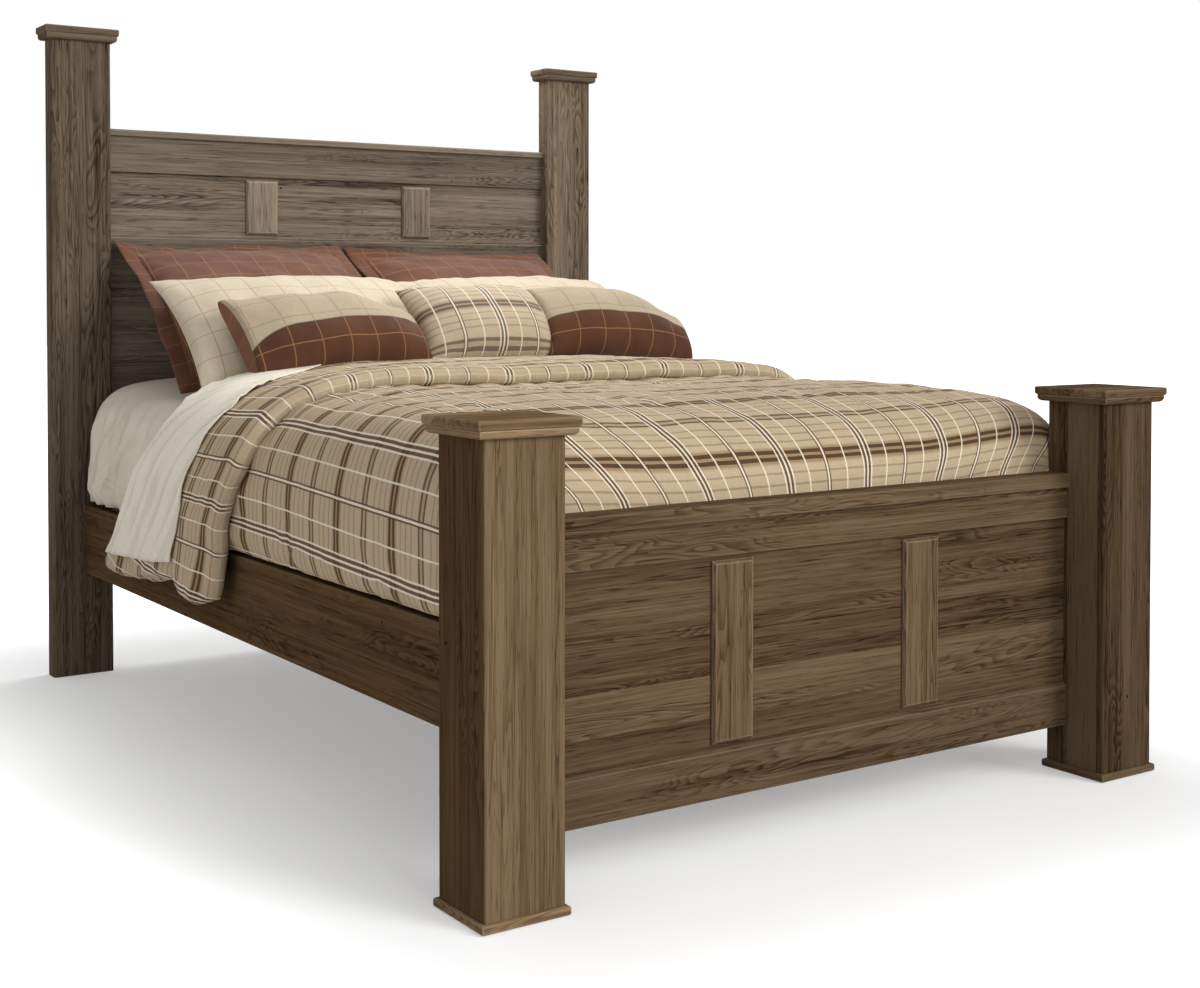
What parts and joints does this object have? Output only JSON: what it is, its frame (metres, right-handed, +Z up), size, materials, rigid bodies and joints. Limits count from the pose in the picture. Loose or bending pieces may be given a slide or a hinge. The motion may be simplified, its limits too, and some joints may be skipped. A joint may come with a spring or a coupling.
{
  "type": "poster bed",
  "caption": "Panelled bed with a tall headboard, a low footboard, square capped posts, hook-on side rails, slats with centre legs, and made-up bedding with plaid comforter and pillows.",
  "frame": {"origin": "middle of the bed's outline on the floor", "axes": "+X across the bed to the right of someone facing the headboard from its foot, +Y from foot to head, +Z up"},
  "size_m": [1.813, 2.318, 1.78],
  "materials": {
    "weathered_oak": "satin",
    "plain_wood": "matte",
    "plate_steel": "satin",
    "fixing_steel": "satin",
    "foot_metal": "satin",
    "foundation_cloth": "matte",
    "mattress_ticking": "matte",
    "ivory_sheet": "matte",
    "plaid_cloth": "matte",
    "brown_cloth": "matte",
    "cream_cloth": "matte",
    "two_tone_cloth": "matte"
  },
  "bodies": {
    "bed": {"accent_pillow_left": "two_tone_cloth", "accent_pillow_right": "two_tone_cloth", "brown_sham_left": "brown_cloth", "brown_sham_right": "brown_cloth", "centre_leg_back": "plain_wood", "centre_leg_front": "plain_wood", "centre_leg_middle": "plain_wood", "comforter": "plaid_cloth", "cream_sham_left": "cream_cloth", "cream_sham_right": "cream_cloth", "dowels": "plain_wood", "fitted_sheet": "ivory_sheet", "flat_sheet": "ivory_sheet", "foot_base_moulding_left": "weathered_oak", "foot_base_moulding_right": "weathered_oak", "foot_bottom_rail": "weathered_oak", "foot_cap_left": "weathered_oak", "foot_cap_moulding_left": "weathered_oak", "foot_cap_moulding_right": "weathered_oak", "foot_cap_right": "weathered_oak", "foot_panel": "weathered_oak", "foot_pilaster_left": "weathered_oak", "foot_pilaster_right": "weathered_oak", "foot_post_left": "weathered_oak", "foot_post_right": "weathered_oak", "foot_top_moulding": "weathered_oak", "foot_top_rail": "weathered_oak", "foundation": "foundation_cloth", "head_bottom_rail": "weathered_oak", "head_cap_left": "weathered_oak", "head_cap_moulding_left": "weathered_oak", "head_cap_moulding_right": "weathered_oak", "head_cap_right": "weathered_oak", "head_lower_panel": "weathered_oak", "head_middle_rail": "weathered_oak", "head_pilaster_left": "weathered_oak", "head_pilaster_right": "weathered_oak", "head_post_left": "weathered_oak", "head_post_right": "weathered_oak", "head_top_moulding": "weathered_oak", "head_top_rail": "weathered_oak", "head_upper_panel": "weathered_oak", "hook_bolts": "fixing_steel", "hook_plates": "plate_steel", "ledger_bolts": "fixing_steel", "ledger_left": "plain_wood", "ledger_right": "plain_wood", "leg_inserts": "fixing_steel", "mattress": "mattress_ticking", "plaid_pillow": "plaid_cloth", "side_rail_left": "weathered_oak", "side_rail_right": "weathered_oak", "slat_back": "plain_wood", "slat_front": "plain_wood", "slat_middle": "plain_wood", "slat_screws": "fixing_steel", "slot_plates": "plate_steel"},
    "front_foot": {"leveller_front": "foot_metal"},
    "middle_foot": {"leveller_middle": "foot_metal"},
    "back_foot": {"leveller_back": "foot_metal"}
  },
  "joints": [
    {"name": "front_foot_height", "type": "slide", "parent": "bed", "child": "front_foot", "axis": [0, 0, 1], "range_m": [0, 0.015]},
    {"name": "middle_foot_height", "type": "slide", "parent": "bed", "child": "middle_foot", "axis": [0, 0, 1], "range_m": [0, 0.015]},
    {"name": "back_foot_height", "type": "slide", "parent": "bed", "child": "back_foot", "axis": [0, 0, 1], "range_m": [0, 0.015]}
  ]
}
